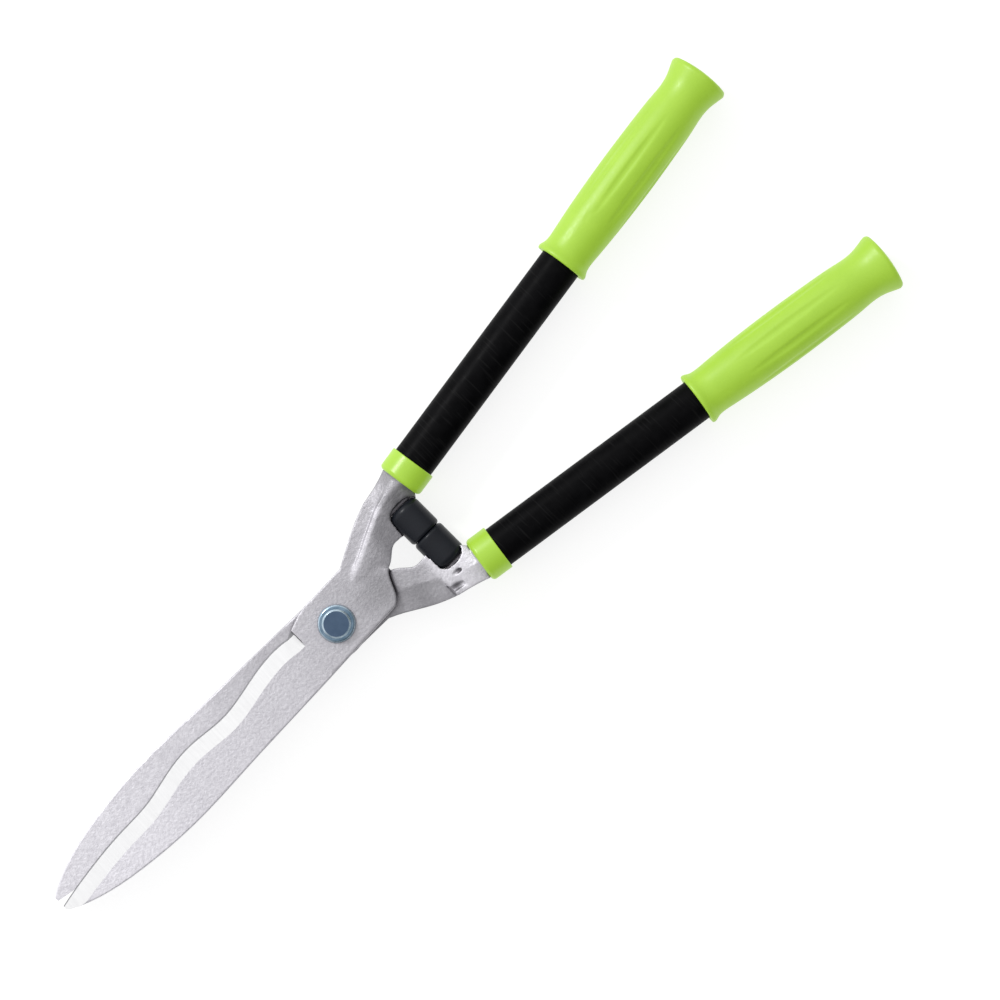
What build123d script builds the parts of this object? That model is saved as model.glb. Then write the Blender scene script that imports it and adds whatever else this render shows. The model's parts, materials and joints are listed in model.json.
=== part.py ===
"""Hedge shears: two cast steel halves on one pivot bolt, steel tube handles, plastic collars,
rubber bumpers and soft grips.

Everything is worked out in the frame of one half first: x runs from the pivot to the blade tip,
y towards the back of that half's blade, and z = 0 is the plane in which the two halves meet.
The front half lies above that plane. The rear half is built in the same way and turned over
about the x axis. Units are millimetres.
"""
from build123d import *
import math
import os

# ---------------------------------------------------------------- driving sizes
# Handles
tube_diameter = 25.0
tube_wall = 1.5
handle_splay = 8.45            # degrees between each handle and the centre line
handle_offset = 20.0           # from the pivot axis to each handle's axis
handle_length = 380.0          # along the handle's axis, from beside the pivot to the grip's end
fit = 0.03                     # radial clearance between pieces that are assembled for good

# Collars between casting and tube
collar_start = 87.0
collar_length = 13.8
collar_diameter = 28.0
collar_lip = 2.0
collar_round = 2.5

# Grips
grip_length = 137.0
grip_lip_radius = 16.4
grip_neck_radius = 14.6
grip_swell_radius = 16.5
grip_waist_radius = 15.0
grip_flare_radius = 18.3
grip_end_wall = 5.5
grip_dome = 2.2

# Blades
blade_reach = 226.7            # from the pivot to the tip
blade_back = 23.9              # from the centre line to the highest point of the back
blade_thickness = 4.5
blade_gap = 0.2                # between the flat faces of the two blades
edge_thickness = 0.4
bevel_width = 10.0
bevel_start = 21.9
back_round = 1.2
rear_set = 1.2                 # degrees that the rear blade is set further closed
rear_set_at = 72.0             # where that set turns about

# Webs around the pivot
web_front = 20.2               # from the pivot to the web's edge on the cutting side
heel_reach = 43.8              # from the pivot back to the heel of the web
heel_clearance = 0.7           # around the other half's heel, where it turns against the arm
inner_round = 1.0              # on the back of each blade, beside its flat face

# Casting arm, boss and tang spike
boss_gap = 0.1                 # between the arm's end and the collar
boss_shoulder = 0.5            # the arm's end stands this far outside the boss
crest_inside = 1.6             # from the middle of the arm's crest to its inner edge
crest_outside = 1.1            # and to its outer edge
crest_fall = 0.5               # the crest slopes outwards by this much
spike_radius = 7.0
spike_tip_radius = 5.5
spike_length = 59.0
step_at = 60.3                 # step across the inner side of the arm
groove_width = 1.2
groove_length = 9.5
groove_start = 29.3            # from the centre line to the groove's near end
groove_depth = 3.9             # from the plane of the halves to the groove's bottom
groove_tilt = 19.5             # degrees, with the slope that it is cut in

# Bumpers
bumper_axis = 73.0             # behind the pivot
bumper_diameter = 20.4
bumper_length = 21.4
bumper_gap = 0.3
bumper_end_round = 5.0
bumper_face_round = 1.5
bumper_seat_clearance = 0.3
seat_thickness = 2.4
seat_height = 9.2              # of the pad behind a bumper's end
stud_radius = 3.0
stud_in_bumper = 12.0
stud_in_arm = 9.0

# Tang pins
pin_radius = 2.0
pin_inset = 6.0                # from the tube's end to the pin's axis
pin_recess = 0.3

# Pivot hardware
bolt_radius = 4.0
bolt_running_fit = 0.05
neck_side = 8.0
head_radius = 8.4
head_height = 3.5
head_chamfer = 0.9
head_washer_radius = 11.0
head_washer_thickness = 2.0
nut_washer_radius = 8.0
nut_washer_thickness = 1.6
nut_washer_gap = 0.1
spring_washer_radius = 7.0
spring_washer_thickness = 1.8
spring_washer_slit = 1.2
nut_across_flats = 13.0
nut_height = 8.0
nut_crown = 1.6
insert_radius = 5.2
insert_height = 1.4

# ---------------------------------------------------------------- derived sizes
tube_radius = tube_diameter / 2
tube_bore = tube_radius - tube_wall
collar_radius = collar_diameter / 2
collar_end = collar_start + collar_length
tube_start = collar_start + collar_lip
tube_end = handle_length - grip_end_wall
pin_position = tube_start + pin_inset
grip_start = handle_length - grip_length
boss_radius = tube_bore - fit
boss_start = collar_start - boss_gap
boss_end = tube_start + 2.0
spike_end = boss_end + spike_length
face = blade_gap / 2
plate_top = face + blade_thickness
plane_height = grip_flare_radius      # the grips' flares and the bolt's end touch the ground

splay = math.radians(handle_splay)
handle_foot = (handle_offset * math.sin(splay), -handle_offset * math.cos(splay))
handle_frame = Plane(
    origin=(handle_foot[0], handle_foot[1], 0),
    x_dir=(-math.sin(splay), math.cos(splay), 0),
    z_dir=(-math.cos(splay), -math.sin(splay), 0),
)


def along_handle(distance, aside=0.0):
    """Point in the plane of the halves, at a distance along the handle and aside of its axis."""
    x = handle_foot[0] - distance * math.cos(splay) - aside * math.sin(splay)
    y = handle_foot[1] - distance * math.sin(splay) + aside * math.cos(splay)
    return x, y


def cylinder(radius, start, end):
    """Cylinder along the handle's own axis, between two distances."""
    return Pos(0, 0, start) * extrude(Circle(radius), end - start)


def ring(outer, inner, start, end):
    return Pos(0, 0, start) * extrude(Circle(outer) - Circle(inner), end - start)


# ---------------------------------------------------------------- casting
def back_points():
    """The back of the blade, from the heel of the web to the tip."""
    shares = [(0.0, 0.77), (0.154, 0.837), (0.408, 0.93), (0.609, 1.0), (0.763, 0.904),
              (0.865, 0.749), (0.935, 0.56), (0.992, 0.326)]
    return [(blade_reach * along, blade_back * up) for along, up in shares]


def edge_points():
    """The waved cutting edge, from the tip back to where the bevel starts."""
    shares = [(0.999, 0.155), (0.882, -0.033), (0.763, -0.134), (0.662, -0.18), (0.578, -0.347),
              (0.484, -0.435), (0.371, -0.351), (0.273, -0.49), (0.179, -0.615), (0.118, -0.573)]
    return [(blade_reach * along, blade_back * up) for along, up in shares]


def set_point(point, angle):
    """Turns a point of the blade about the place where its set begins."""
    turn = math.radians(-angle)
    x = point[0] - rear_set_at
    y = point[1]
    return (
        rear_set_at + x * math.cos(turn) - y * math.sin(turn),
        x * math.sin(turn) + y * math.cos(turn),
    )


def heel_points():
    """The heel of the web, from its corner beside the arm round to the back."""
    return [
        (-heel_reach, -0.035 * heel_reach),
        (-0.873 * heel_reach, 0.3 * blade_back),
        (-0.8 * heel_reach, 0.56 * blade_back),
        (-0.687 * heel_reach, 0.71 * blade_back),
    ]


def make_plate(angle):
    """Blade and web as one flat plate with a ground bevel along its edge."""
    shoulder = [(0.79 * bevel_start, -0.86 * web_front), (0.5 * bevel_start, -0.96 * web_front)]
    lower = [(0, -web_front), (-0.525 * heel_reach, -1.04 * web_front)]
    backs = [set_point(p, angle) for p in back_points()]
    edges = [set_point(p, angle) for p in edge_points()]
    heels = [set_point(p, angle) for p in heel_points()]
    shoulders = [set_point(p, angle) for p in shoulder]
    lowers = [set_point(p, angle) for p in lower]
    tip = set_point((blade_reach, 0.243 * blade_back), angle)
    outline = [
        Spline(*heels),
        Spline(heels[-1], *backs),
        Polyline(backs[-1], tip, edges[0]),
        Spline(*edges),
        Spline(edges[-1], *shoulders, lowers[0]),
        Polyline(lowers[0], lowers[1], heels[0]),
    ]
    flat = make_face(Curve() + outline)
    plate = Pos(0, 0, face) * extrude(flat, blade_thickness)
    for height, radius in ((plate_top, back_round), (face, inner_round)):
        rim = plate.edges().filter_by_position(Axis.Z, height - 0.01, height + 0.01)
        plate = fillet(rim.sort_by(SortBy.LENGTH)[-1], radius)
    far = 3 * blade_back
    below = [
        Spline(*edges),
        Polyline(edges[-1], (bevel_start, edges[-1][1]), (bevel_start, -far), (1.2 * blade_reach, -far),
                 (1.2 * blade_reach, edges[0][1]), edges[0]),
    ]
    rise = blade_thickness - edge_thickness
    slope = Vector(0, bevel_width, rise)
    ground = extrude(make_face(Curve() + below), 2 * slope.length, dir=slope)
    return plate - Pos(0, 0, face + edge_thickness) * ground


def make_heel_room(other_angle):
    """What the other half's heel turns through: its outline, turned over and grown by the clearance."""
    corners = []
    for point in heel_points():
        x, y = set_point(point, other_angle)
        growth = 1 + heel_clearance / math.hypot(x, y)
        corners.append((x * growth, -y * growth))
    near, far = corners[0][0], corners[-1][1]
    room = [Spline(*corners),
            Polyline(corners[-1], (0, far), (0, web_front), (near, web_front), corners[0])]
    return Pos(0, 0, face - tube_radius) * extrude(make_face(Curve() + room), tube_radius)


def arm_section(station):
    """One section across the arm: a crest with a step at its foot, and a ridge below."""
    inner, outer, crest, foot, under = station[:5]
    inner_top, crest_top, foot_top, outer_top, inner_low, trough, outer_low = station[5:]
    corners = [
        (inner, inner_top),
        (crest + crest_inside, crest_top),
        (crest - crest_outside, crest_top - crest_fall),
        (foot, foot_top),
        (outer, outer_top),
        (outer, outer_low),
        (under, trough),
        (inner, inner_low),
    ]
    return make_face(Polyline(*corners, close=True))


def make_arm(angle):
    """The cranked arm from the web to the collar, lofted through sections on both sides of its step."""
    sunk = plate_top - 1.8
    lifted = face + 0.8
    # behind the pivot, share of the set, then y: inner, outer, crest, foot of the crest, ridge below,
    # then z: inner top, crest, foot, outer top, inner low, ridge, outer low
    front_stations = [
        (18.0, 1.0, 3.0, -18.6, -9.6, -11.4, -8.0, sunk, plate_top - 0.3, sunk, sunk, lifted, lifted, lifted),
        (25.5, 1.0, 1.8, -22.2, -12.6, -14.4, -10.0, sunk, 5.4, 4.5, 4.75, lifted, lifted, lifted),
        (33.0, 1.0, 0.5, -26.2, -15.8, -17.6, -12.0, sunk, 6.6, 5.0, 5.2, 0.6, 0.4, 0.8),
        (40.0, 0.7, -1.0, -29.8, -18.9, -20.7, -14.2, 3.2, 7.2, 5.3, 5.3, -0.7, -1.7, 0.6),
        (46.0, 0.5, -2.6, -32.8, -21.9, -23.7, -16.5, 2.6, 7.6, 5.5, 5.1, -2.2, -3.5, 0.2),
        (53.0, 0.3, -8.0, -35.7, -25.2, -27.0, -19.8, 1.4, 8.0, 5.7, 4.8, -3.9, -5.3, -0.8),
        (57.0, 0.22, -9.2, -37.1, -27.1, -28.9, -22.0, 1.0, 8.2, 5.9, 4.6, -4.7, -6.1, -1.4),
        (step_at, 0.15, -9.1, -38.2, -28.7, -30.5, -23.8, 0.6, 8.4, 6.2, 4.4, -5.4, -7.0, -1.9),
    ]
    rear_stations = [
        (step_at, 0.15, -9.1, -38.2, -28.7, -30.5, -23.8, 0.6, 8.4, 6.2, 4.4, -5.4, -7.0, -7.6),
        (71.0, 0.0, -9.4, -40.4, -32.0, -33.9, -29.0, 1.5, 9.2, 7.3, 3.4, -6.0, -8.0, -8.2),
    ]
    end = along_handle(boss_start)
    end_plane = Plane(origin=(*end, 0), x_dir=handle_frame.x_dir, z_dir=-handle_frame.z_dir)
    half = boss_radius + boss_shoulder
    end_section = end_plane * arm_section(
        (half, -half, -0.3, -5.0, 0.0, 3.0, 10.4, 8.6, 3.0, -6.0, -9.8, -7.0))

    def sections(stations):
        placed = []
        for behind, share, *rest in stations:
            drop = share * (behind + rear_set_at) * math.sin(math.radians(angle))
            station = [y + drop for y in rest[:5]] + rest[5:]
            plane = Plane(origin=(-behind, 0, 0), x_dir=(0, 1, 0), z_dir=(1, 0, 0))
            placed.append(plane * arm_section(station))
        return placed

    return loft(sections(front_stations)) + loft([*sections(rear_stations), end_section])


def make_bumper():
    """Rubber bumper that stands on the arm and points at its twin across the centre line."""
    radius = bumper_diameter / 2
    start = bumper_gap / 2
    end = start + bumper_length
    body = Pos(0, 0, start) * extrude(Circle(radius), bumper_length)
    body = fillet(body.edges().sort_by(Axis.Z)[0], bumper_face_round)
    body = fillet(body.edges().sort_by(Axis.Z)[-1], bumper_end_round)
    body -= Pos(0, 0, end - stud_in_bumper) * extrude(Circle(stud_radius + fit), stud_in_bumper)
    return bumper_frame.location * body


bumper_frame = Plane(origin=(-bumper_axis, 0, 0), x_dir=(1, 0, 0), z_dir=(0, -1, 0))
bumper_foot = bumper_gap / 2 + bumper_length


def make_pocket():
    """The room that a bumper and its seat take out of the arm, from the centre line down."""
    radius = bumper_diameter / 2 + bumper_seat_clearance
    body = Pos(0, 0, -radius) * extrude(Circle(radius), bumper_foot + seat_thickness + radius)
    body = fillet(body.edges().sort_by(Axis.Z)[-1], bumper_end_round)
    return bumper_frame.location * body


def make_seat():
    """Flat pad across the pocket that a bumper's end stands on."""
    pad = Circle(bumper_diameter / 2 - bumper_seat_clearance) & Rectangle(bumper_diameter, seat_height)
    return bumper_frame.location * Pos(0, 0, bumper_foot) * extrude(pad, 2 * seat_thickness)


def tilted_bar(radius, start, end):
    """Round bar between two points, used to cut a shallow mark that runs out at one end."""
    run = Vector(*end) - Vector(*start)
    bar = Plane(origin=start, z_dir=run) * extrude(Circle(radius), run.length)
    return bar + Pos(*start) * Sphere(radius)


def make_recesses():
    """On the arm's inner side: a groove at the step, and two shallow marks left by the mould."""
    groove = Box(groove_width, groove_length, tube_radius, align=(Align.CENTER, Align.MAX, Align.MAX))
    groove = Pos(-step_at, -groove_start, -groove_depth) * Rot(X=-groove_tilt) * groove
    hollow = tilted_bar(1.8, (-step_at - 0.5, -33.2, -6.7), (-step_at - 8.4, -35.0, -9.0))
    slot = tilted_bar(1.2, (-bumper_axis + 0.3, -28.2, -6.8), (-bumper_axis + 9.0, -26.6, -9.8))
    return [groove, hollow, slot]


def make_casting(angle, other_angle, hole):
    """Blade, web, arm, bumper seat, boss and tang spike, cast as one piece."""
    body = make_plate(angle) + (make_arm(angle) - make_heel_room(other_angle))
    for recess in make_recesses():
        body -= recess
    body += handle_frame.location * cylinder(boss_radius, boss_start, boss_end)
    spike = Cone(spike_radius, spike_tip_radius, spike_length, align=(Align.CENTER, Align.CENTER, Align.MIN))
    body += handle_frame.location * Pos(0, 0, boss_end) * spike
    body -= make_pocket()
    body += make_seat()
    stud_hole = extrude(Circle(stud_radius + fit), seat_thickness + stud_in_arm)
    body -= bumper_frame.location * Pos(0, 0, bumper_foot) * stud_hole
    body -= pin_at(pin_radius + fit, 2 * collar_radius)
    body -= Pos(0, 0, face) * extrude(hole, 3 * blade_thickness)
    return body


def pin_at(radius, length):
    """Cross pin through tube, sleeve and spike, square to the plane of the halves."""
    x, y = along_handle(pin_position)
    return Pos(x, y, -length / 2) * extrude(Circle(radius), length)


# ---------------------------------------------------------------- handle pieces
def make_collar():
    body = cylinder(collar_radius, collar_start, collar_end)
    body = fillet(body.edges().sort_by(Axis.Z)[0], collar_round)
    body -= cylinder(boss_radius + fit, collar_start, tube_start)
    body -= cylinder(tube_radius + fit, tube_start, collar_end)
    return handle_frame.location * body


def make_tube():
    body = ring(tube_radius, tube_bore, tube_start, tube_end)
    return handle_frame.location * body - pin_at(pin_radius + fit, 2 * collar_radius)


def make_sleeve():
    """Plastic bush that fills the tube around the tang spike."""
    body = cylinder(tube_bore - fit, boss_end, spike_end)
    spike = Cone(spike_radius + fit, spike_tip_radius + fit, spike_length,
                 align=(Align.CENTER, Align.CENTER, Align.MIN))
    body -= Pos(0, 0, boss_end) * spike
    return handle_frame.location * body - pin_at(pin_radius + fit, 2 * collar_radius)


def make_grip():
    """Soft grip: lip, neck, swelling, waist, flare and domed end."""
    body_length = grip_length - grip_dome
    shares = [(0.0, 0.975 * grip_lip_radius), (0.012, grip_lip_radius), (0.032, 0.935 * grip_lip_radius),
              (0.06, grip_neck_radius), (0.11, 1.015 * grip_neck_radius), (0.28, 0.97 * grip_swell_radius),
              (0.5, grip_swell_radius), (0.68, 0.98 * grip_swell_radius), (0.8, 0.94 * grip_swell_radius),
              (0.875, grip_waist_radius), (0.92, 1.05 * grip_waist_radius), (0.96, 0.945 * grip_flare_radius),
              (0.985, grip_flare_radius)]
    points = [(radius, grip_start + share * body_length) for share, radius in shares]
    corner = (0.965 * grip_flare_radius, grip_start + body_length)
    ball = (corner[0] ** 2 + grip_dome ** 2) / (2 * grip_dome)
    shoulder = (corner[0] / 2, handle_length - ball + math.sqrt(ball ** 2 - corner[0] ** 2 / 4))
    profile = [
        Line((0, grip_start), points[0]),
        Spline(*points),
        Spline(points[-1], corner),
        ThreePointArc(corner, shoulder, (0, handle_length)),
        Line((0, handle_length), (0, grip_start)),
    ]
    half = make_face(Curve() + [Plane.XZ * part for part in profile])
    body = revolve(half, Axis.Z)
    body -= cylinder(tube_radius + fit, grip_start, tube_end + fit)
    return handle_frame.location * body


def make_stud():
    start = bumper_foot - stud_in_bumper
    body = extrude(Circle(stud_radius), stud_in_bumper + seat_thickness + stud_in_arm)
    return bumper_frame.location * Pos(0, 0, start) * body


# ---------------------------------------------------------------- pivot hardware
head_seat = plate_top + head_washer_thickness
nut_face = -plate_top - nut_washer_gap
spring_face = nut_face - nut_washer_thickness
nut_top = spring_face - spring_washer_thickness
nut_end = nut_top - nut_height
bolt_end = -plane_height


def disc(radius, low, high):
    return Pos(0, 0, low) * extrude(Circle(radius), high - low)


def make_bolt():
    """Flat round head, square neck in the front half, round shank and a chamfered end."""
    head = disc(head_radius, head_seat, head_seat + head_height)
    head = chamfer(head.edges().sort_by(Axis.Z)[-1], head_chamfer)
    neck = Pos(0, 0, face) * extrude(Rectangle(neck_side, neck_side), head_seat - face)
    shank = disc(bolt_radius, bolt_end, face)
    shank = chamfer(shank.edges().sort_by(Axis.Z)[0], 0.15 * bolt_radius)
    return head + neck + shank


def make_spring_washer():
    ring_body = disc(spring_washer_radius, nut_top, spring_face) - disc(bolt_radius + fit, nut_top, spring_face)
    slit = Pos(spring_washer_radius, 0, (nut_top + spring_face) / 2) * Box(
        2 * spring_washer_radius, spring_washer_slit, 2 * spring_washer_thickness)
    return ring_body - Rot(Z=40) * slit


def make_nut():
    """Lock nut: a hexagon with a round crown that holds the plastic insert."""
    hexagon = RegularPolygon(nut_across_flats / 2, 6, major_radius=False)
    body = Pos(0, 0, nut_end + nut_crown) * extrude(hexagon, nut_height - nut_crown)
    body += disc(0.46 * nut_across_flats, nut_end, nut_end + nut_crown)
    body -= disc(bolt_radius + fit, nut_end, nut_top)
    return body - disc(insert_radius + fit, nut_end, nut_end + insert_height)


def make_head_washer():
    hole = neck_side / math.sqrt(2) + 0.15
    return disc(head_washer_radius, plate_top, head_seat) - disc(hole, plate_top, head_seat)


def make_nut_washer():
    return disc(nut_washer_radius, spring_face, nut_face) - disc(bolt_radius + fit, spring_face, nut_face)


def make_insert():
    top = nut_end + insert_height
    return disc(insert_radius, nut_end, top) - disc(bolt_radius + fit, nut_end, top)


# ---------------------------------------------------------------- assembly
neck_hole = Rectangle(neck_side + 2 * fit, neck_side + 2 * fit)
running_hole = Circle(bolt_radius + bolt_running_fit)

front_side = Pos(0, 0, plane_height)
rear_side = Pos(0, 0, plane_height) * Rot(X=180)

nodes = {
    "front_blade": front_side * make_casting(0.0, rear_set, neck_hole),
    "rear_blade": rear_side * make_casting(rear_set, 0.0, running_hole),
    "pivot_bolt": front_side * make_bolt(),
    "head_washer": front_side * make_head_washer(),
    "nut_washer": front_side * make_nut_washer(),
    "spring_washer": front_side * make_spring_washer(),
    "lock_nut": front_side * make_nut(),
    "nut_insert": front_side * make_insert(),
}
handle_pieces = {
    "bumper": make_bumper(),
    "bumper_stud": make_stud(),
    "collar": make_collar(),
    "tube": make_tube(),
    "tang_sleeve": make_sleeve(),
    "tang_pin": pin_at(pin_radius, 2 * (tube_radius - pin_recess)),
    "grip": make_grip(),
}
for name, piece in handle_pieces.items():
    nodes["front_" + name] = front_side * piece
    nodes["rear_" + name] = rear_side * piece

os.makedirs("parts", exist_ok=True)
for name, piece in nodes.items():
    export_step(piece, "parts/" + name + ".step")
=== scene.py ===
import json
import math
import bpy
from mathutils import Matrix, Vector

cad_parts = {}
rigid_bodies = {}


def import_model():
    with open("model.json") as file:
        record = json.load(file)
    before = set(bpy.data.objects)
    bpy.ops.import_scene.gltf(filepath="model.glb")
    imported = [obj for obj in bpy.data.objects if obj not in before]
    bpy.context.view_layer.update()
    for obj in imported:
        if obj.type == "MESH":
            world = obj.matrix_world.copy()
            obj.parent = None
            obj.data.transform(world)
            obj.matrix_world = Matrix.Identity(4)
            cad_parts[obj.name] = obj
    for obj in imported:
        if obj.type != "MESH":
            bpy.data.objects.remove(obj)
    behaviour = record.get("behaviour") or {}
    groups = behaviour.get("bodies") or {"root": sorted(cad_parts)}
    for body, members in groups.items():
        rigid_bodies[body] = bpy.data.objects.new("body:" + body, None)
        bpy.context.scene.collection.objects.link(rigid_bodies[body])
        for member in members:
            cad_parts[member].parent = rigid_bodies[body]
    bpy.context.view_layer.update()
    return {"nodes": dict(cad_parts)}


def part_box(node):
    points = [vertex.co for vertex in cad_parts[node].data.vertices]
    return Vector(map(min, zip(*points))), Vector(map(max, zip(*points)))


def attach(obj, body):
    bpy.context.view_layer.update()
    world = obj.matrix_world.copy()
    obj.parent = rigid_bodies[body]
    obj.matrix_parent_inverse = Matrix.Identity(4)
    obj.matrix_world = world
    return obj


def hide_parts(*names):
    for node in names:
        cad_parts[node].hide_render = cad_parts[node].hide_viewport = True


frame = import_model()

mm = 0.001
touching = 0.001 * mm          # points nearer than this are one point

# ---- Castings ------------------------------------------------------------------------------
# Blade, web, cranked arm and tang are one steel casting on each half of the shears. Web and arm
# keep the soft corners of the sand mould under a shot-blasted skin; the blade is trimmed sharp,
# with a ground bevel and a narrow honed land along its waved edge. The tang hides in the tube.
bevel_start = 21.9 * mm         # from the pivot to the bevel's inner end
bevel_slope = Vector((0, 10.0, 4.1)) * mm
bevel_tilt = (0.85, 0.97)      # how much a face of the bevel looks up, from least to most
honed_share = 0.07             # of the bevel's width that is honed
edge_spread = 0.02 * mm        # the bevel's lowest points are level within this
collar_start = 87.0 * mm       # along a handle, from beside the pivot
pin_position = 95.0 * mm
tang_stub = 3.0 * mm           # of the casting kept inside the collar
web_overlap = 4.0 * mm         # of blade worked with the web before it is cut off
cast_grain = 0.45 * mm         # size of the mesh that rounds the mould's corners
corner_passes = 8
rub_passes = 60
cast_top = (0.80, 0.785, 0.83, 1)
cast_low = (0.56, 0.545, 0.59, 1)
cast_metal = 0.6               # the oxide skin is not all metal
cast_roughness = (0.44, 0.56)
cast_bump = 0.42 * mm
# Painted shade: a hollow's colour goes towards this one the less open sky reaches it.
painted_shade = (0.16, 0.15, 0.17, 1)
painted_shade_reach = 4.0 * mm
painted_shade_shelter = (0.25, 0.9)    # open sky at which a hollow takes all the painted shade, and none of it
ground_low = (0.68, 0.68, 0.685, 1)
ground_high = (0.70, 0.70, 0.705, 1)
ground_roughness = (0.74, 0.82)
ground_bump = 0.01 * mm
honed_low = (0.23, 0.23, 0.24, 1)
honed_high = (0.30, 0.30, 0.31, 1)
honed_roughness = (0.65, 0.75)
noise_range = (0.3, 0.7)       # where nearly all of a noise texture's values lie
casting_reach = 230.0 * mm
# Painted light and shade along each half, as the light falls on it: x in mm, and the level there.
painted_light_front = ((-90, 0.45), (-70, 0.46), (-58, 0.56), (-42, 0.66), (-30, 0.66), (-15, 0.62), (15, 0.70),
                (50, 0.80), (110, 0.88), (180, 1.0))
painted_light_rear = ((-90, 0.85), (-64, 0.82), (-58, 0.62), (-44, 0.49), (-30, 0.48), (40, 0.66), (110, 0.84),
               (180, 0.94))
# Spots that darken the skin, or above 1 lighten it: the middle in mm, how far it reaches, and the level.
# Those behind the bumpers and in the recesses are painted shade; those above 1, painted highlights on
# ridges.
painted_spots_front = (((-33, 4, 23), 26, 0.62), ((-75, -28.5, 26), 8, 0.76), ((-79, -38, 25), 9, 0.82),
                ((-62, -36, 24), 10, 0.82), ((-24, -8.5, 23.5), 8, 1.12), ((-31, -12.5, 24.3), 9, 1.3),
                ((-39, -17.5, 25), 8, 1.2), ((-47, -22, 25.6), 7, 1.2), ((-55, -26, 26), 7, 1.25),
                ((-62, -29.5, 26.5), 6, 1.5), ((-73, -23, 22), 7, 0.15),
                ((-79, -22, 22), 6, 0.2), ((-67, -22, 22), 6, 0.2))
painted_spots_rear = (((-54, 13, 22), 12, 0.78), ((-54, 29, 24), 9, 1.15), ((-64.5, 33.8, 25), 5.5, 0.32),
               ((-71.5, 28.2, 25), 2.5, 0.5), ((-73, 23.2, 22), 4, 0.3), ((-78, 22, 22), 4, 0.3),
               ((-68, 22, 22), 4, 0.3))
# Ridges that hands have worn round: x, y, z and reach in mm.
softened = {"front": ((-80, -31.5, 27, 6), (-75, -31.5, 27, 5), (-24, -7.5, 23, 4), (-30, -7, 23, 5),
                      (-37, -5, 23, 5)),
            "rear": ((-60.5, 25.5, 25, 5), (-62, 29, 25, 3))}


def work_on(*pieces):
    """Leaves only these pieces selected, the first of them active."""
    if bpy.context.object and bpy.context.object.mode != "OBJECT":
        bpy.ops.object.mode_set(mode="OBJECT")
    for thing in bpy.context.view_layer.objects:
        thing.select_set(thing in pieces)
    if pieces:
        bpy.context.view_layer.objects.active = pieces[0]


def edit(piece):
    """Opens one piece in edit mode with everything on it selected."""
    work_on(piece)
    bpy.ops.object.mode_set(mode="EDIT")
    bpy.ops.mesh.select_all(action="SELECT")


def finish_with(piece, kind, **settings):
    """Adds a modifier to the piece and applies it."""
    work_on(piece)
    modifier = piece.modifiers.new(kind.lower(), kind)
    for name, value in settings.items():
        setattr(modifier, name, value)
    bpy.ops.object.modifier_apply(modifier=modifier.name)


def bench_copy(node, name):
    """A new piece with a CAD node's shape, its loose triangles merged."""
    piece = bpy.data.objects.new(name, frame["nodes"][node].data.copy())
    bpy.context.collection.objects.link(piece)
    piece.data.materials.clear()
    edit(piece)
    bpy.ops.mesh.customdata_custom_splitnormals_clear()
    bpy.ops.mesh.remove_doubles(threshold=touching)
    bpy.ops.object.mode_set(mode="OBJECT")
    return piece


def saw(piece, point, away):
    """Cuts the piece at a plane, drops the side that away points to and closes the cut."""
    edit(piece)
    bpy.ops.mesh.bisect(plane_co=point, plane_no=away, use_fill=True, clear_outer=True,
                        threshold=touching)
    bpy.ops.object.mode_set(mode="OBJECT")


def shade(piece, degrees):
    """Smooth shading that keeps flat faces flat, and edges sharper than the angle crisp."""
    work_on(piece)
    bpy.ops.object.shade_smooth_by_angle(angle=math.radians(degrees))
    finish_with(piece, "WEIGHTED_NORMAL", keep_sharp=True)


def middle(node):
    low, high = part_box(node)
    return (low + high) / 2


def handle_axis(side):
    """Direction of a handle away from the pivot, and the point beside the pivot it is measured from."""
    pin = middle(side + "_tang_pin")
    along = (middle(side + "_tube") - pin).normalized()
    return along, pin - pin_position * along


def add_node(tree, kind, inputs=(), **settings):
    """Adds a shader node; its inputs are given numbers, colours or the outputs of other nodes."""
    made = tree.nodes.new(kind)
    for name, value in settings.items():
        setattr(made, name, value)
    for name, value in dict(inputs).items():
        if isinstance(value, bpy.types.NodeSocket):
            tree.links.new(value, made.inputs[name])
        else:
            made.inputs[name].default_value = value
    return made


def new_material(name, colour, **settings):
    """A material with its node tree, its Principled shader and the object coordinates."""
    material = bpy.data.materials.new(name)
    material.use_nodes = True
    material.diffuse_color = colour
    tree = material.node_tree
    shader = tree.nodes["Principled BSDF"]
    for socket, value in settings.items():
        shader.inputs[socket.replace("_", " ")].default_value = value
    place = add_node(tree, "ShaderNodeTexCoord").outputs["Object"]
    return material, tree, shader, place


def blend_colours(tree, amount, low, high):
    """Mixes two colours by a value from another node."""
    mix = add_node(tree, "ShaderNodeMix", {"Factor": amount}, data_type="RGBA")
    for number, colour in ((6, low), (7, high)):
        if isinstance(colour, bpy.types.NodeSocket):
            tree.links.new(colour, mix.inputs[number])
        else:
            mix.inputs[number].default_value = colour
    return mix.outputs[2]


def spread(tree, value, low, high):
    """Stretches a value that varies about one half to a range of its own."""
    reach = add_node(tree, "ShaderNodeMapRange",
                     {"Value": value, "From Min": noise_range[0], "From Max": noise_range[1],
                      "To Min": low, "To Max": high})
    return reach.outputs["Result"]


def sum_of(tree, *terms):
    """Adds up (value, weight) pairs."""
    total = 0.0
    for value, weight in terms:
        term = add_node(tree, "ShaderNodeMath", {0: value, 1: weight, 2: total},
                        operation="MULTIPLY_ADD")
        total = term.outputs[0]
    return total


def set_stops(ramp, stops):
    """Gives a colour ramp its grey stops, each a position and a level."""
    elements = ramp.color_ramp.elements
    while len(elements) < len(stops):
        elements.new(0.5)
    for element, (position, level) in zip(elements, stops):
        element.position = position
        element.color = (level, level, level, 1)


def raise_surface(tree, shader, height, depth):
    """Gives the shader a bump of that depth, in metres, from a height between 0 and 1."""
    bump = add_node(tree, "ShaderNodeBump", {"Strength": 1.0, "Distance": depth, "Height": height})
    tree.links.new(bump.outputs["Normal"], shader.inputs["Normal"])


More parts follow.
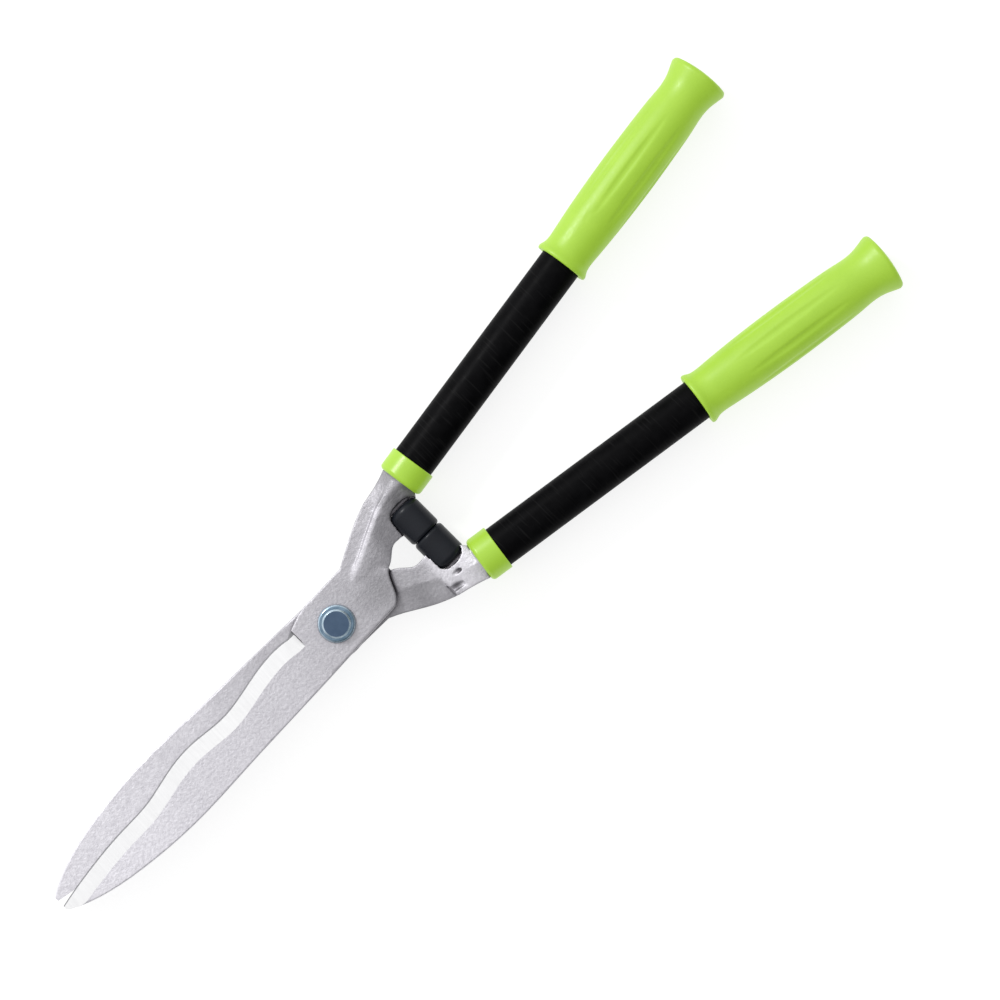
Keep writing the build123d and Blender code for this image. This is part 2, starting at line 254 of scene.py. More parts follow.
def make_cast_steel(name, wear_and_painted_light, painted_spots):
    """Shot-blasted cast steel: fine grain over shallow dents, with painted shade in its hollows.

    The second argument lists how bright the skin is painted at places along the casting, from the
    handle to the tip: painted light and shade. The third gives spots that darken or lighten the skin,
    painted shade and painted highlights among them: the middle, how far it reaches, and how dark or
    bright it is there.
    """
    material, tree, shader, place = new_material(name, cast_top, Metallic=cast_metal)
    clouds = add_node(tree, "ShaderNodeTexNoise", {"Vector": place, "Scale": 130.0, "Detail": 2.0})
    dents = add_node(tree, "ShaderNodeTexNoise", {"Vector": place, "Scale": 520.0, "Detail": 3.0})
    grain = add_node(tree, "ShaderNodeTexNoise", {"Vector": place, "Scale": 1500.0, "Detail": 2.0})
    shot = add_node(tree, "ShaderNodeTexVoronoi", {"Vector": place, "Scale": 800.0}, feature="SMOOTH_F1")
    tone = sum_of(tree, (clouds.outputs["Fac"], 0.2), (dents.outputs["Fac"], 0.45),
                  (grain.outputs["Fac"], 0.35))
    skin = blend_colours(tree, spread(tree, tone, 0.0, 1.0), cast_low, cast_top)

    # Painted light and shade along the casting: the skin's level is set by its place along x.
    along = add_node(tree, "ShaderNodeSeparateXYZ", {"Vector": place}).outputs["X"]
    share = add_node(tree, "ShaderNodeMapRange", {"Value": along, "From Min": -casting_reach,
                                                  "From Max": casting_reach})
    ramp = add_node(tree, "ShaderNodeValToRGB", {"Fac": share.outputs["Result"]})
    ramp.color_ramp.interpolation = "EASE"
    set_stops(ramp, [((x * mm + casting_reach) / (2 * casting_reach), level) for x, level in wear_and_painted_light])
    level = ramp.outputs["Color"]
    # Spots: painted shade behind the bumpers and in the recesses, painted highlights above 1.
    for spot, reach, level_there in painted_spots:
        away = add_node(tree, "ShaderNodeVectorMath", {0: place, 1: Vector(spot) * mm},
                        operation="DISTANCE")
        painted_spot = add_node(tree, "ShaderNodeMapRange",
                         {"Value": away.outputs["Value"], "From Max": reach * mm,
                          "To Min": level_there, "To Max": 1.0}, interpolation_type="SMOOTHSTEP")
        level = add_node(tree, "ShaderNodeMath", {0: level, 1: painted_spot.outputs["Result"]},
                         operation="MULTIPLY").outputs[0]
    toned = add_node(tree, "ShaderNodeMix", {"Factor": 1.0}, data_type="RGBA", blend_type="MULTIPLY")
    tree.links.new(skin, toned.inputs[6])
    tree.links.new(level, toned.inputs[7])

    # Painted shade in the hollows, set by how much open sky reaches each point.
    open_sky = add_node(tree, "ShaderNodeAmbientOcclusion", {"Distance": painted_shade_reach}, samples=8)
    unshaded = add_node(tree, "ShaderNodeMapRange",
                     {"Value": open_sky.outputs["AO"], "From Min": painted_shade_shelter[0],
                      "From Max": painted_shade_shelter[1]})
    tree.links.new(blend_colours(tree, unshaded.outputs["Result"], painted_shade, toned.outputs[2]),
                   shader.inputs["Base Color"])
    tree.links.new(spread(tree, grain.outputs["Fac"], *cast_roughness), shader.inputs["Roughness"])
    height = sum_of(tree, (dents.outputs["Fac"], 0.6), (grain.outputs["Fac"], 0.2),
                    (shot.outputs["Distance"], 0.2))
    raise_surface(tree, shader, height, cast_bump)
    return material


def make_ground_steel():
    """Bright steel with fine lines across the bevel from the grinding wheel."""
    material, tree, shader, place = new_material("ground_steel", (0.9, 0.9, 0.9, 1), Metallic=1.0)
    stretched = add_node(tree, "ShaderNodeMapping", {"Vector": place, "Scale": (1.0, 0.02, 0.02)})
    lines = add_node(tree, "ShaderNodeTexNoise",
                     {"Vector": stretched.outputs[0], "Scale": 3500.0, "Detail": 3.0})
    bands = add_node(tree, "ShaderNodeTexNoise", {"Vector": place, "Scale": 90.0, "Detail": 1.0})
    tone = sum_of(tree, (lines.outputs["Fac"], 0.5), (bands.outputs["Fac"], 0.5))
    bright = blend_colours(tree, spread(tree, tone, 0.0, 1.0), ground_low, ground_high)
    tree.links.new(bright, shader.inputs["Base Color"])
    tree.links.new(spread(tree, lines.outputs["Fac"], *ground_roughness), shader.inputs["Roughness"])
    raise_surface(tree, shader, lines.outputs["Fac"], ground_bump)
    return material


def make_honed_steel():
    """The honed land at the very edge, darker than the bevel."""
    material, tree, shader, place = new_material("honed_steel", (0.2, 0.2, 0.21, 1), Metallic=1.0)
    grain = add_node(tree, "ShaderNodeTexNoise", {"Vector": place, "Scale": 1200.0, "Detail": 2.0})
    land_tone = blend_colours(tree, spread(tree, grain.outputs["Fac"], 0.0, 1.0), honed_low, honed_high)
    tree.links.new(land_tone, shader.inputs["Base Color"])
    tree.links.new(spread(tree, grain.outputs["Fac"], *honed_roughness), shader.inputs["Roughness"])
    return material


# The two halves differ only in the light and shade painted along them.
cast_steel = {"front": make_cast_steel("cast_steel_front", painted_light_front, painted_spots_front),
              "rear": make_cast_steel("cast_steel_rear", painted_light_rear, painted_spots_rear)}
ground_steel = make_ground_steel()
honed_steel = make_honed_steel()


def soften(piece, places):
    """Rubs the surface smooth round some places, each x, y, z and how far it reaches."""
    group = piece.vertex_groups.new(name="wear_and_painted_light")
    for x, y, z, reach in places:
        for vertex in piece.data.vertices:
            share = 1 - (vertex.co / mm - Vector((x, y, z))).length / reach
            if share > 0:
                group.add([vertex.index], min(1.0, 2 * share), "REPLACE")
    finish_with(piece, "SMOOTH", factor=0.5, iterations=rub_passes, vertex_group=group.name)
    piece.vertex_groups.clear()


def cast_web(side):
    """Web and arm, with the mould's soft corners."""
    piece = bench_copy(side + "_blade", side + "_web")
    along, foot = handle_axis(side)
    saw(piece, foot + (collar_start + tang_stub) * along, along)
    saw(piece, (bevel_start + web_overlap, 0, 0), (1, 0, 0))
    finish_with(piece, "REMESH", mode="VOXEL", voxel_size=cast_grain)
    finish_with(piece, "SMOOTH", factor=0.5, iterations=corner_passes)
    soften(piece, softened[side])
    saw(piece, (bevel_start, 0, 0), (1, 0, 0))
    piece.data.materials.append(cast_steel[side])
    shade(piece, 50)
    return piece


def trimmed_blade(side, outside):
    """The blade: flat cast faces, ground bevel and honed land. outside is 1 where it faces up."""
    piece = bench_copy(side + "_blade", side + "_blade_casting")
    saw(piece, (bevel_start, 0, 0), (-1, 0, 0))
    for finish in (cast_steel[side], ground_steel, honed_steel):
        piece.data.materials.append(finish)
    mesh = piece.data
    bevel = [face for face in mesh.polygons
             if bevel_tilt[0] < outside * face.normal.z < bevel_tilt[1] and outside * face.normal.y < -0.1]
    edge_height = min(outside * mesh.vertices[point].co.z for face in bevel for point in face.vertices)
    honed = {point for face in bevel for point in face.vertices
             if outside * mesh.vertices[point].co.z < edge_height + edge_spread}
    for point in honed:
        mesh.vertices[point].co += outside * honed_share * bevel_slope
    for face in bevel:
        face.material_index = 1
    for face in mesh.polygons:
        if face.material_index == 0 and any(point in honed for point in face.vertices):
            face.material_index = 2
    shade(piece, 14)
    return piece


for side, outside in (("front", 1), ("rear", -1)):
    web = cast_web(side)
    blade = trimmed_blade(side, outside)
    work_on(blade, web)
    bpy.ops.object.join()
    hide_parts(side + "_blade")
    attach(blade, side + "_half")

# ---- Bumpers -------------------------------------------------------------------------------
# Two round stops of black rubber stand on the arms and meet on the centre line when the blades
# are shut. Each is moulded round the head of a threaded stud, with a small radius at the face
# that strikes and a larger one where it stands on the casting.
bumper_face_round = 2.2 * mm
bumper_end_round = 4.2 * mm
bumper_squash = 0.12 * mm      # the ring round a striking face stands this far towards its twin
bumper_dish = 0.25 * mm        # the middle of that face lies this far back
dish_middle = 0.5 * mm
dish_share = (0.55, 0.6)       # of the radius, where the dish ends and where the ring is reached
stud_fit = 0.1 * mm
bumper_low = (0.005, 0.006, 0.009, 1)
bumper_high = (0.010, 0.012, 0.017, 1)


def turned(name, stations, sides=96):
    """A solid turned about z: one circle drawn out through its stations, each a radius and a height."""
    work_on()
    radius, height = stations[0]
    bpy.ops.mesh.primitive_circle_add(vertices=sides, radius=radius)
    piece = bpy.context.active_object
    piece.name = name
    edit(piece)
    bpy.ops.transform.translate(value=(0, 0, height))
    for next_radius, next_height in stations[1:]:
        bpy.ops.mesh.extrude_region_move(TRANSFORM_OT_translate={"value": (0, 0, next_height - height)})
        share = next_radius / radius
        bpy.ops.transform.resize(value=(share, share, 1), center_override=(0, 0, 0))
        radius, height = next_radius, next_height
    bpy.ops.mesh.select_all(action="SELECT")
    bpy.ops.mesh.remove_doubles(threshold=touching)
    bpy.ops.mesh.fill_holes(sides=0)
    bpy.ops.mesh.normals_make_consistent(inside=False)
    bpy.ops.object.mode_set(mode="OBJECT")
    return piece


def corner(radius, height, rounding, start, end, steps=8):
    """Stations round a corner, from one angle of its arc to another, 0 pointing outward and 90 up."""
    angles = [math.radians(start + (end - start) * step / steps) for step in range(steps + 1)]
    return [(radius + rounding * math.cos(angle), height + rounding * math.sin(angle)) for angle in angles]


def put(piece, place, direction):
    """Moves a piece that was made along z to its place on the shears and applies the move."""
    piece.location = place
    piece.rotation_euler = direction.to_track_quat("Z", "Y").to_euler()
    work_on(piece)
    bpy.ops.object.transform_apply()


def moulded_skin_group():
    """Skin of a moulded part: a fine grain from the mould and soft clouds in its colour."""
    group = bpy.data.node_groups.new("moulded_skin", "ShaderNodeTree")
    for name, kind in (("Place", "NodeSocketVector"), ("Grain Size", "NodeSocketFloat"),
                       ("Low Colour", "NodeSocketColor"), ("High Colour", "NodeSocketColor"),
                       ("Low Roughness", "NodeSocketFloat"), ("High Roughness", "NodeSocketFloat")):
        group.interface.new_socket(name=name, in_out="INPUT", socket_type=kind)
    for name, kind in (("Colour", "NodeSocketColor"), ("Roughness", "NodeSocketFloat"),
                       ("Height", "NodeSocketFloat")):
        group.interface.new_socket(name=name, in_out="OUTPUT", socket_type=kind)
    given = add_node(group, "NodeGroupInput").outputs
    result = add_node(group, "NodeGroupOutput").inputs
    clouds = add_node(group, "ShaderNodeTexNoise", {"Vector": given["Place"], "Scale": 60.0, "Detail": 2.0})
    pores = add_node(group, "ShaderNodeTexVoronoi", {"Vector": given["Place"], "Scale": given["Grain Size"]},
                     feature="SMOOTH_F1")
    grain = add_node(group, "ShaderNodeTexNoise",
                     {"Vector": given["Place"], "Scale": given["Grain Size"], "Detail": 2.0})
    tone = sum_of(group, (clouds.outputs["Fac"], 0.6), (grain.outputs["Fac"], 0.4))
    skin = blend_colours(group, spread(group, tone, 0.0, 1.0), given["Low Colour"], given["High Colour"])
    group.links.new(skin, result["Colour"])
    worn = spread(group, grain.outputs["Fac"], given["Low Roughness"], given["High Roughness"])
    group.links.new(worn, result["Roughness"])
    height = sum_of(group, (pores.outputs["Distance"], 0.5), (grain.outputs["Fac"], 0.5))
    group.links.new(height, result["Height"])
    return group


moulded_skin = moulded_skin_group()


def make_moulded(name, low, high, grain_size, roughness, depth, **settings):
    """A moulded plastic or rubber. Given an emission strength, it glows in its own colour: painted light."""
    material, tree, shader, place = new_material(name, high, **settings)
    skin = add_node(tree, "ShaderNodeGroup", node_tree=moulded_skin)
    tree.links.new(place, skin.inputs["Place"])
    for socket, value in (("Grain Size", grain_size), ("Low Colour", low), ("High Colour", high),
                          ("Low Roughness", roughness[0]), ("High Roughness", roughness[1])):
        skin.inputs[socket].default_value = value
    tree.links.new(skin.outputs["Colour"], shader.inputs["Base Color"])
    tree.links.new(skin.outputs["Colour"], shader.inputs["Emission Color"])
    tree.links.new(skin.outputs["Roughness"], shader.inputs["Roughness"])
    raise_surface(tree, shader, skin.outputs["Height"], depth)
    return material


bumper_rubber = make_moulded("bumper_rubber", bumper_low, bumper_high, 1400.0, (0.28, 0.36), 0.02 * mm,
                             Specular_IOR_Level=0.2)

for side, away in (("front", -1), ("rear", 1)):
    low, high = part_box(side + "_bumper")
    radius = (high.x - low.x) / 2
    length = high.y - low.y
    face_ring = radius - bumper_face_round
    end_ring = radius - bumper_end_round
    stud_low, stud_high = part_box(side + "_bumper_stud")
    stud_hole = (stud_high.x - stud_low.x) / 2 + stud_fit
    stations = [(dish_middle, bumper_dish), (dish_share[0] * radius, bumper_dish),
                (dish_share[1] * radius, -bumper_squash)]
    stations += corner(face_ring, bumper_face_round - bumper_squash, bumper_face_round, -90, 0)
    stations += corner(end_ring, length - bumper_end_round, bumper_end_round, 0, 90)
    stations += [(stud_hole, length), (stud_hole, length - bumper_end_round)]
    bumper = turned(side + "_bumper_moulding", stations)
    shade(bumper, 40)
    start = middle(side + "_bumper")
    start.y = high.y if away < 0 else low.y
    put(bumper, start, Vector((0, away, 0)))
    bumper.data.materials.append(bumper_rubber)
    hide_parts(side + "_bumper")
    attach(bumper, side + "_half")

# ---- Steel fastenings ----------------------------------------------------------------------
# A threaded stud holds each bumper to its arm, and a plain pin goes through tube, sleeve and
# tang. Both are turned from bright steel rod and left bare; hardly any of them shows.
scratch_turns = (0.4, 1.3, 2.6)
scratch_stretch = 0.04
scratch_cut = (0.66, 0.74)     # of the noise: only its crests are scratches
scratch_density = 900.0
rod_low = (0.42, 0.42, 0.43, 1)
rod_high = (0.56, 0.56, 0.57, 1)
rod_scratch = (0.75, 0.75, 0.75, 1)


def fine_scratches_group():
    """Hairline scratches from use: a mask of thin crossing lines, and their height."""
    group = bpy.data.node_groups.new("fine_scratches", "ShaderNodeTree")
    for name, kind in (("Place", "NodeSocketVector"), ("Density", "NodeSocketFloat"),
                       ("Amount", "NodeSocketFloat")):
        group.interface.new_socket(name=name, in_out="INPUT", socket_type=kind)
    group.interface.new_socket(name="Mask", in_out="OUTPUT", socket_type="NodeSocketFloat")
    given = add_node(group, "NodeGroupInput").outputs
    result = add_node(group, "NodeGroupOutput").inputs
    total = 0.0
    for turn in scratch_turns:
        turned_place = add_node(group, "ShaderNodeMapping", {"Vector": given["Place"]})
        turned_place.inputs["Rotation"].default_value = (turn, 0.7 * turn, turn)
        turned_place.inputs["Scale"].default_value = (1.0, scratch_stretch, scratch_stretch)
        lines = add_node(group, "ShaderNodeTexNoise",
                         {"Vector": turned_place.outputs[0], "Scale": given["Density"], "Detail": 1.0})
        thin = add_node(group, "ShaderNodeMapRange",
                        {"Value": lines.outputs["Fac"], "From Min": scratch_cut[0],
                         "From Max": scratch_cut[1], "To Min": 0.0, "To Max": 1.0})
        total = add_node(group, "ShaderNodeMath", {0: total, 1: thin.outputs["Result"]},
                         operation="MAXIMUM").outputs[0]
    mask = add_node(group, "ShaderNodeMath", {0: total, 1: given["Amount"]}, operation="MULTIPLY")
    group.links.new(mask.outputs[0], result["Mask"])
    return group


fine_scratches = fine_scratches_group()


def make_scratched(name, low, high, scratch, roughness, amount, depth, **settings):
    """A plated, painted or bare metal skin: soft clouds in its colour under hairline scratches."""
    material, tree, shader, place = new_material(name, high, **settings)
    clouds = add_node(tree, "ShaderNodeTexNoise", {"Vector": place, "Scale": 160.0, "Detail": 3.0})
    skin = blend_colours(tree, spread(tree, clouds.outputs["Fac"], 0.0, 1.0), low, high)
    lines = add_node(tree, "ShaderNodeGroup", node_tree=fine_scratches)
    tree.links.new(place, lines.inputs["Place"])
    lines.inputs["Density"].default_value = scratch_density
    lines.inputs["Amount"].default_value = amount
    scratched = blend_colours(tree, lines.outputs["Mask"], skin, scratch)
    tree.links.new(scratched, shader.inputs["Base Color"])
    tree.links.new(spread(tree, clouds.outputs["Fac"], *roughness), shader.inputs["Roughness"])
    peel = add_node(tree, "ShaderNodeTexNoise", {"Vector": place, "Scale": 700.0, "Detail": 2.0})
    height = sum_of(tree, (peel.outputs["Fac"], 1.0), (lines.outputs["Mask"], -0.4))
    raise_surface(tree, shader, height, depth)
    return material


def dress(node, finish):
    """Gives a CAD node that stays as it is its finish."""
    frame["nodes"][node].material_slots[0].material = finish


bright_rod = make_scratched("bright_rod", rod_low, rod_high, rod_scratch, (0.25, 0.4), 0.5, 0.01 * mm,
                            Metallic=1.0)
for side in ("front", "rear"):
    dress(side + "_bumper_stud", bright_rod)
    dress(side + "_tang_pin", bright_rod)

# ---- Handle tubes --------------------------------------------------------------------------
# Straight welded steel tube, 25 mm across, powder coated black before the grips go on. The coat
# has a faint peel and a few rubs.
paint_low = (0.0015, 0.0015, 0.0018, 1)
paint_high = (0.003, 0.003, 0.0034, 1)
paint_rub = (0.02, 0.02, 0.02, 1)

black_paint = make_scratched("black_paint", paint_low, paint_high, paint_rub, (0.36, 0.5), 0.25, 0.02 * mm,
                             Specular_IOR_Level=0.03)
for side in ("front", "rear"):
    dress(side + "_tube", black_paint)

# ---- Tang sleeves --------------------------------------------------------------------------
# Black plastic bushes, each moulded in one piece, that fill the tubes round the tangs and take
# the play out of the joint. The collars and tubes hide them.
sleeve_low = (0.010, 0.010, 0.011, 1)
sleeve_high = (0.018, 0.018, 0.019, 1)

sleeve_plastic = make_moulded("sleeve_plastic", sleeve_low, sleeve_high, 1600.0, (0.4, 0.55), 0.02 * mm)
for side in ("front", "rear"):
    dress(side + "_tang_sleeve", sleeve_plastic)

# ---- Collars -------------------------------------------------------------------------------
# Lime ferrules of hard plastic that cover the joint between casting and tube. The end towards
# the casting has a full round and a lip that grips the round boss. The plastic glows a little in
# its own colour: painted light that evens out its shading.
collar_length = 13.8 * mm
collar_radius = 14.0 * mm
collar_lip = 2.0 * mm
collar_nose_round = 2.5 * mm
collar_edge_round = 0.5 * mm
boss_break = 0.2 * mm          # the hole's sharp edges are broken this far
tube_break = 0.15 * mm
boss_hole = 11.05 * mm
tube_hole = 12.55 * mm
lime_low = (0.197, 0.338, 0.021, 1)
lime_high = (0.219, 0.365, 0.026, 1)
# A glow in the lime parts' own colour: painted light that evens out their shading.
lime_painted_glow = 0.7

collar_plastic = make_moulded("collar_plastic", lime_low, lime_high, 1500.0, (0.30, 0.38), 0.02 * mm,
                              Emission_Strength=lime_painted_glow)
for side in ("front", "rear"):
    stations = [(boss_hole, collar_lip), (boss_hole, boss_break), (boss_hole + boss_break, 0.0)]
    stations += corner(collar_radius - collar_nose_round, collar_nose_round, collar_nose_round, -90, 0)
    stations += corner(collar_radius - collar_edge_round, collar_length - collar_edge_round,
                       collar_edge_round, 0, 90, steps=4)
    stations += [(tube_hole + tube_break, collar_length), (tube_hole, collar_length - tube_break),
                 (tube_hole, collar_lip), (boss_hole, collar_lip)]
    collar = turned(side + "_collar_moulding", stations)
    shade(collar, 40)
    along, foot = handle_axis(side)
    put(collar, foot + collar_start * along, along)
    collar.data.materials.append(collar_plastic)
    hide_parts(side + "_collar")
    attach(collar, side + "_half")

# ---- Grips ---------------------------------------------------------------------------------
# Soft lime rubber slipped over the tube's end: a lip, a swelling with nine long finger flutes,
# a waist and a flare that stops the hand. The skin is matt from the mould.
grip_skin = 0.6 * mm           # size of the mesh that rounds the flutes' edges
grip_passes = 6
flute_count = 9
flute_radius = 5.0 * mm
flute_reach = 15.7 * mm        # from the handle's axis to the bottom of a flute
flute_start = 252.0 * mm
flute_end = 364.0 * mm
first_flutes = {"front": -4.0, "rear": -17.0}      # turn of a grip on its tube, in degrees

# The grips share the collars' glow: painted light in their own colour.
grip_rubber = make_moulded("grip_rubber", lime_low, lime_high, 900.0, (0.36, 0.46), 0.04 * mm,
                           Emission_Strength=lime_painted_glow)
for side in ("front", "rear"):
    grip = bench_copy(side + "_grip", side + "_grip_moulding")
    along, foot = handle_axis(side)
    across = along.cross(Vector((0, 0, 1)))
    for number in range(flute_count):
        angle = math.radians(first_flutes[side] + 360 * number / flute_count)
        outward = math.sin(angle) * across + Vector((0, 0, math.cos(angle)))
        work_on()
        bpy.ops.mesh.primitive_cylinder_add(vertices=48, radius=flute_radius, depth=flute_end - flute_start)
        cutter = bpy.context.active_object
        put(cutter, foot + (flute_start + flute_end) / 2 * along + (flute_reach + flute_radius) * outward,
            along)
        finish_with(grip, "BOOLEAN", object=cutter, operation="DIFFERENCE", solver="EXACT")
        bpy.data.objects.remove(cutter)
    finish_with(grip, "REMESH", mode="VOXEL", voxel_size=grip_skin)
    finish_with(grip, "SMOOTH", factor=0.5, iterations=grip_passes)
    work_on(grip)
    bpy.ops.object.shade_smooth()
    grip.data.materials.append(grip_rubber)
    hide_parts(side + "_grip")
    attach(grip, side + "_half")

# ---- Pivot bolt and washers ----------------------------------------------------------------
# A zinc-plated bolt with a flat turned head holds the blades together; its square neck is drawn
# round like the shank. A wide washer lies under the head, a small one under the nut and a split
# spring washer between.
head_height = 3.5 * mm
head_chamfer = 0.9 * mm
shank_radius = 4.0 * mm
thread_pitch = 1.25 * mm
thread_depth = 0.6 * mm
washer_round = 1.6 * mm
head_break = 0.2 * mm
washer_break = 0.1 * mm
washer_hole_break = 0.2 * mm
washer_holes = {"head_washer": 5.81 * mm, "nut_washer": 4.03 * mm}
# The rims are painted brighter than the facings, a painted highlight on the rolled edges.
rim_highlight_low = (0.30, 0.41, 0.49, 1)
rim_highlight_high = (0.55, 0.65, 0.73, 1)
rim_change = 0.1 * mm          # half the ring over which the facing turns into the rim
zinc_roughness = (0.24, 0.36)
zinc_bump = 0.01 * mm


def make_zinc(name, facing_low, facing_high, facing_radius):
    """Blue zinc plate: dark on the turned face inside facing_radius, with a painted highlight on rolled
    rims.
    """
    material, tree, shader, place = new_material(name, facing_high, Metallic=1.0)
    clouds = add_node(tree, "ShaderNodeTexNoise", {"Vector": place, "Scale": 220.0, "Detail": 3.0})
    facing = blend_colours(tree, spread(tree, clouds.outputs["Fac"], 0.0, 1.0), facing_low, facing_high)
    rim = blend_colours(tree, spread(tree, clouds.outputs["Fac"], 0.0, 1.0), rim_highlight_low, rim_highlight_high)
    flat = add_node(tree, "ShaderNodeMapping", {"Vector": place, "Scale": (1.0, 1.0, 0.0)})
    radius = add_node(tree, "ShaderNodeVectorMath", {0: flat.outputs[0]}, operation="LENGTH")
    on_rim = add_node(tree, "ShaderNodeMapRange",
                      {"Value": radius.outputs["Value"], "From Min": facing_radius - rim_change,
                       "From Max": facing_radius + rim_change})
    plate_and_rim_highlight = blend_colours(tree, on_rim.outputs["Result"], facing, rim)
    tree.links.new(plate_and_rim_highlight, shader.inputs["Base Color"])
    rings = add_node(tree, "ShaderNodeTexWave",
                     {"Vector": flat.outputs[0], "Scale": 1400.0, "Distortion": 0.4},
                     wave_type="RINGS", rings_direction="SPHERICAL")
    tree.links.new(spread(tree, rings.outputs["Fac"], *zinc_roughness), shader.inputs["Roughness"])
    height = sum_of(tree, (rings.outputs["Fac"], 0.6), (clouds.outputs["Fac"], 0.4))
    raise_surface(tree, shader, height, zinc_bump)
    return material


head_zinc = make_zinc("head_zinc", (0.063, 0.098, 0.156, 1), (0.078, 0.118, 0.182, 1), 7.4 * mm)
washer_zinc = make_zinc("washer_zinc", (0.10, 0.16, 0.22, 1), (0.20, 0.28, 0.36, 1), 10.1 * mm)
small_zinc = make_zinc("small_zinc", (0.30, 0.38, 0.44, 1), (0.45, 0.53, 0.60, 1), 7.0 * mm)

bolt_low, bolt_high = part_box("pivot_bolt")
head_radius = (bolt_high.x - bolt_low.x) / 2
head_seat = bolt_high.z - head_height
stations = [(shank_radius - thread_depth, bolt_low.z)]
height = bolt_low.z + 0.5 * thread_pitch
while height < middle("spring_washer").z:
    stations += [(shank_radius, height), (shank_radius - thread_depth, height + 0.5 * thread_pitch)]
    height += thread_pitch
stations += [(shank_radius, height), (shank_radius, head_seat), (head_radius - head_break, head_seat)]
stations += [(head_radius, head_seat + head_break), (head_radius, bolt_high.z - head_chamfer)]
stations += [(head_radius - head_chamfer, bolt_high.z)]
bolt = turned("pivot_bolt_turned", stations)
finish_with(bolt, "BEVEL", width=0.12 * mm, segments=3, limit_method="ANGLE",
            angle_limit=math.radians(35))
shade(bolt, 30)
bolt.data.materials.append(head_zinc)
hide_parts("pivot_bolt")
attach(bolt, "front_half")

for node, hole in washer_holes.items():
    low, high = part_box(node)
    outer = (high.x - low.x) / 2
    thick = high.z - low.z
    stations = [(hole, washer_break), (hole + washer_break, 0.0)]
    stations += [(outer - washer_break, 0.0), (outer, washer_break)]
    stations += corner(outer - washer_round, thick - washer_round, washer_round, 0, 90, steps=5)
    stations += [(hole + washer_hole_break, thick), (hole, thick - washer_hole_break),
                 (hole, washer_break)]
    washer = turned(node + "_stamped", stations)
    shade(washer, 40)
    put(washer, Vector((0, 0, low.z)), Vector((0, 0, 1)))
    washer.data.materials.append(washer_zinc if node == "head_washer" else small_zinc)
    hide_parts(node)
    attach(washer, "front_half")

split_washer = bench_copy("spring_washer", "spring_washer_wound")
finish_with(split_washer, "BEVEL", width=0.25 * mm, segments=3, limit_method="ANGLE",
            angle_limit=math.radians(40))
shade(split_washer, 40)
split_washer.data.materials.append(small_zinc)
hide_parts("spring_washer")
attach(split_washer, "front_half")

# ---- Lock nut ------------------------------------------------------------------------------
# A zinc-plated hexagon nut, 13 mm across its flats, with its corners chamfered both ends and a
# crown rolled over a white nylon ring that keeps it from working loose.
nut_low, nut_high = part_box("lock_nut")
nut_corner = (nut_high.x - nut_low.x) / 2
nut_flat = (nut_high.y - nut_low.y) / 2
nut_height = nut_high.z - nut_low.z
blank_start = nut_flat - 0.1 * mm
blank_reach = nut_corner + 1.2 * mm
blank_shoulder = 0.75 * mm
insert_chamfer = 0.35 * mm
insert_edge = 0.1 * mm
insert_fit = 0.03 * mm
nylon_low = (0.62, 0.62, 0.58, 1)
nylon_high = (0.74, 0.74, 0.70, 1)

lock_nut = bench_copy("lock_nut", "lock_nut_forged")
stations = [(blank_start, 0.0), (blank_reach, 0.35 * nut_height)]
stations += [(blank_reach, nut_height - blank_shoulder), (blank_start, nut_height)]
blank = turned("nut_blank", stations)
put(blank, Vector((0, 0, nut_low.z)), Vector((0, 0, 1)))
finish_with(lock_nut, "BOOLEAN", object=blank, operation="INTERSECT", solver="EXACT")
bpy.data.objects.remove(blank)
finish_with(lock_nut, "BEVEL", width=0.15 * mm, segments=2, limit_method="ANGLE",
            angle_limit=math.radians(40))
shade(lock_nut, 35)
lock_nut.data.materials.append(small_zinc)
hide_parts("lock_nut")
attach(lock_nut, "front_half")

nylon = make_moulded("nylon", nylon_low, nylon_high, 1500.0, (0.35, 0.5), 0.01 * mm)
low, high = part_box("nut_insert")
outer = (high.x - low.x) / 2
thick = high.z - low.z
hole = shank_radius + insert_fit
stations = [(hole, thick), (hole, insert_chamfer), (hole + insert_chamfer, 0.0),
            (outer - insert_edge, 0.0), (outer, insert_edge), (outer, thick), (hole, thick)]
insert = turned("nut_insert_ring", stations)
shade(insert, 30)
put(insert, Vector((0, 0, low.z)), Vector((0, 0, 1)))
insert.data.materials.append(nylon)
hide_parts("nut_insert")
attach(insert, "front_half")

# ---- Studio --------------------------------------------------------------------------------
# The shears lie on a plain white light table, in a soft tent with one small key light, and are
# seen from straight above.
object_centre = Vector((-116.6, 16.1, 0)) * mm
view_width = 576 * mm
camera_lens = 120.0
camera_sensor = 36.0
blade_plane = middle("front_tang_pin").z
table_size = 12.0
table_drop = 0.2 * mm          # the table lies this far under the shears
table_low = (0.24, 0.24, 0.24, 1)
table_high = (0.26, 0.26, 0.26, 1)
table_glow = 0.8
key_side = Vector((0.12, -0.78, 0.63)).normalized()
key_distance = 2.0
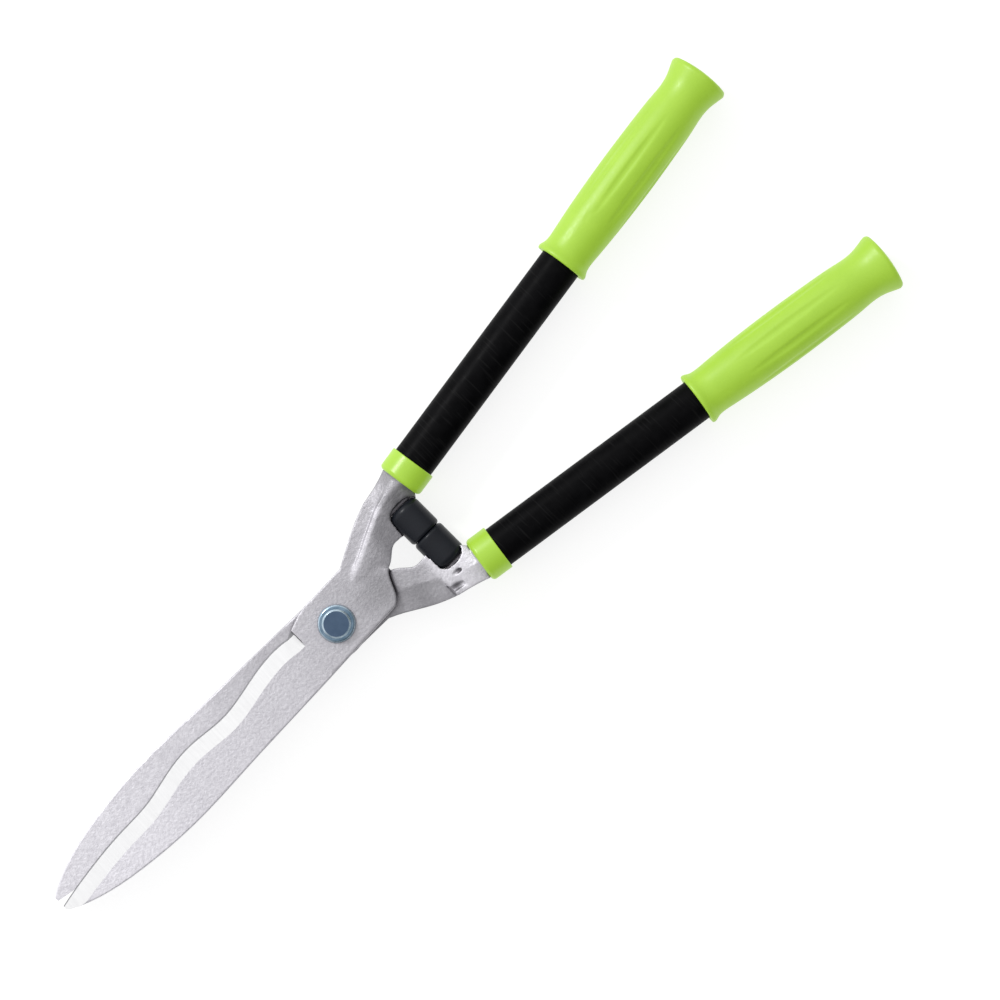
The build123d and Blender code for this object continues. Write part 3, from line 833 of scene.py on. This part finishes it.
# The tent's light: from the side away from the key light to the side towards it.
tent_stops = ((0.0, 0.25), (0.45, 0.35), (0.6, 0.75), (0.8, 1.3), (0.93, 1.4), (1.0, 1.6))
tent_top = 3.0                 # the level that stands for white in the ramp
tent_strength = 2.6

bpy.ops.mesh.primitive_plane_add(size=table_size, location=(0, 0, -table_drop))
table = bpy.context.active_object
table.name = "table"
white, tree, shader, place = new_material("table_white", (0.9, 0.9, 0.9, 1), Roughness=0.8,
                                          Emission_Strength=table_glow)
clouds = add_node(tree, "ShaderNodeTexNoise", {"Vector": place, "Scale": 3.0})
tree.links.new(blend_colours(tree, clouds.outputs["Fac"], table_low, table_high),
               shader.inputs["Base Color"])
shader.inputs["Emission Color"].default_value = (1, 1, 1, 1)
table.data.materials.append(white)

key = bpy.data.lights.new("key_light", "AREA")
key.shape = "DISK"
key.size = 0.3
key.energy = 18
key_object = bpy.data.objects.new("key_light", key)
key_object.location = object_centre + key_distance * key_side
key_object.rotation_euler = key_side.to_track_quat("Z", "Y").to_euler()
bpy.context.collection.objects.link(key_object)

# The room is a soft tent, brightest round the key light and dim on the far side.
world = bpy.data.worlds.new("studio")
world.use_nodes = True
tree = world.node_tree
sight = add_node(tree, "ShaderNodeTexCoord").outputs["Generated"]
towards_key = add_node(tree, "ShaderNodeVectorMath", {0: sight, 1: key_side}, operation="DOT_PRODUCT")
share = add_node(tree, "ShaderNodeMapRange", {"Value": towards_key.outputs["Value"], "From Min": -1.0,
                                              "From Max": 1.0})
tent = add_node(tree, "ShaderNodeValToRGB", {"Fac": share.outputs["Result"]})
set_stops(tent, [(position, level / tent_top) for position, level in tent_stops])
background = tree.nodes["Background"]
background.inputs["Strength"].default_value = tent_strength
tree.links.new(tent.outputs["Color"], background.inputs["Color"])
bpy.context.scene.world = world

camera = bpy.data.cameras.new("camera")
camera.lens = camera_lens
camera.sensor_width = camera_sensor
camera_object = bpy.data.objects.new("camera", camera)
distance = view_width * camera_lens / camera_sensor
camera_object.location = object_centre + Vector((0, 0, blade_plane + distance))
camera_object.rotation_euler = (0, 0, math.radians(135))
bpy.context.collection.objects.link(camera_object)
bpy.context.scene.camera = camera_object
bpy.context.scene.view_settings.view_transform = "Standard"
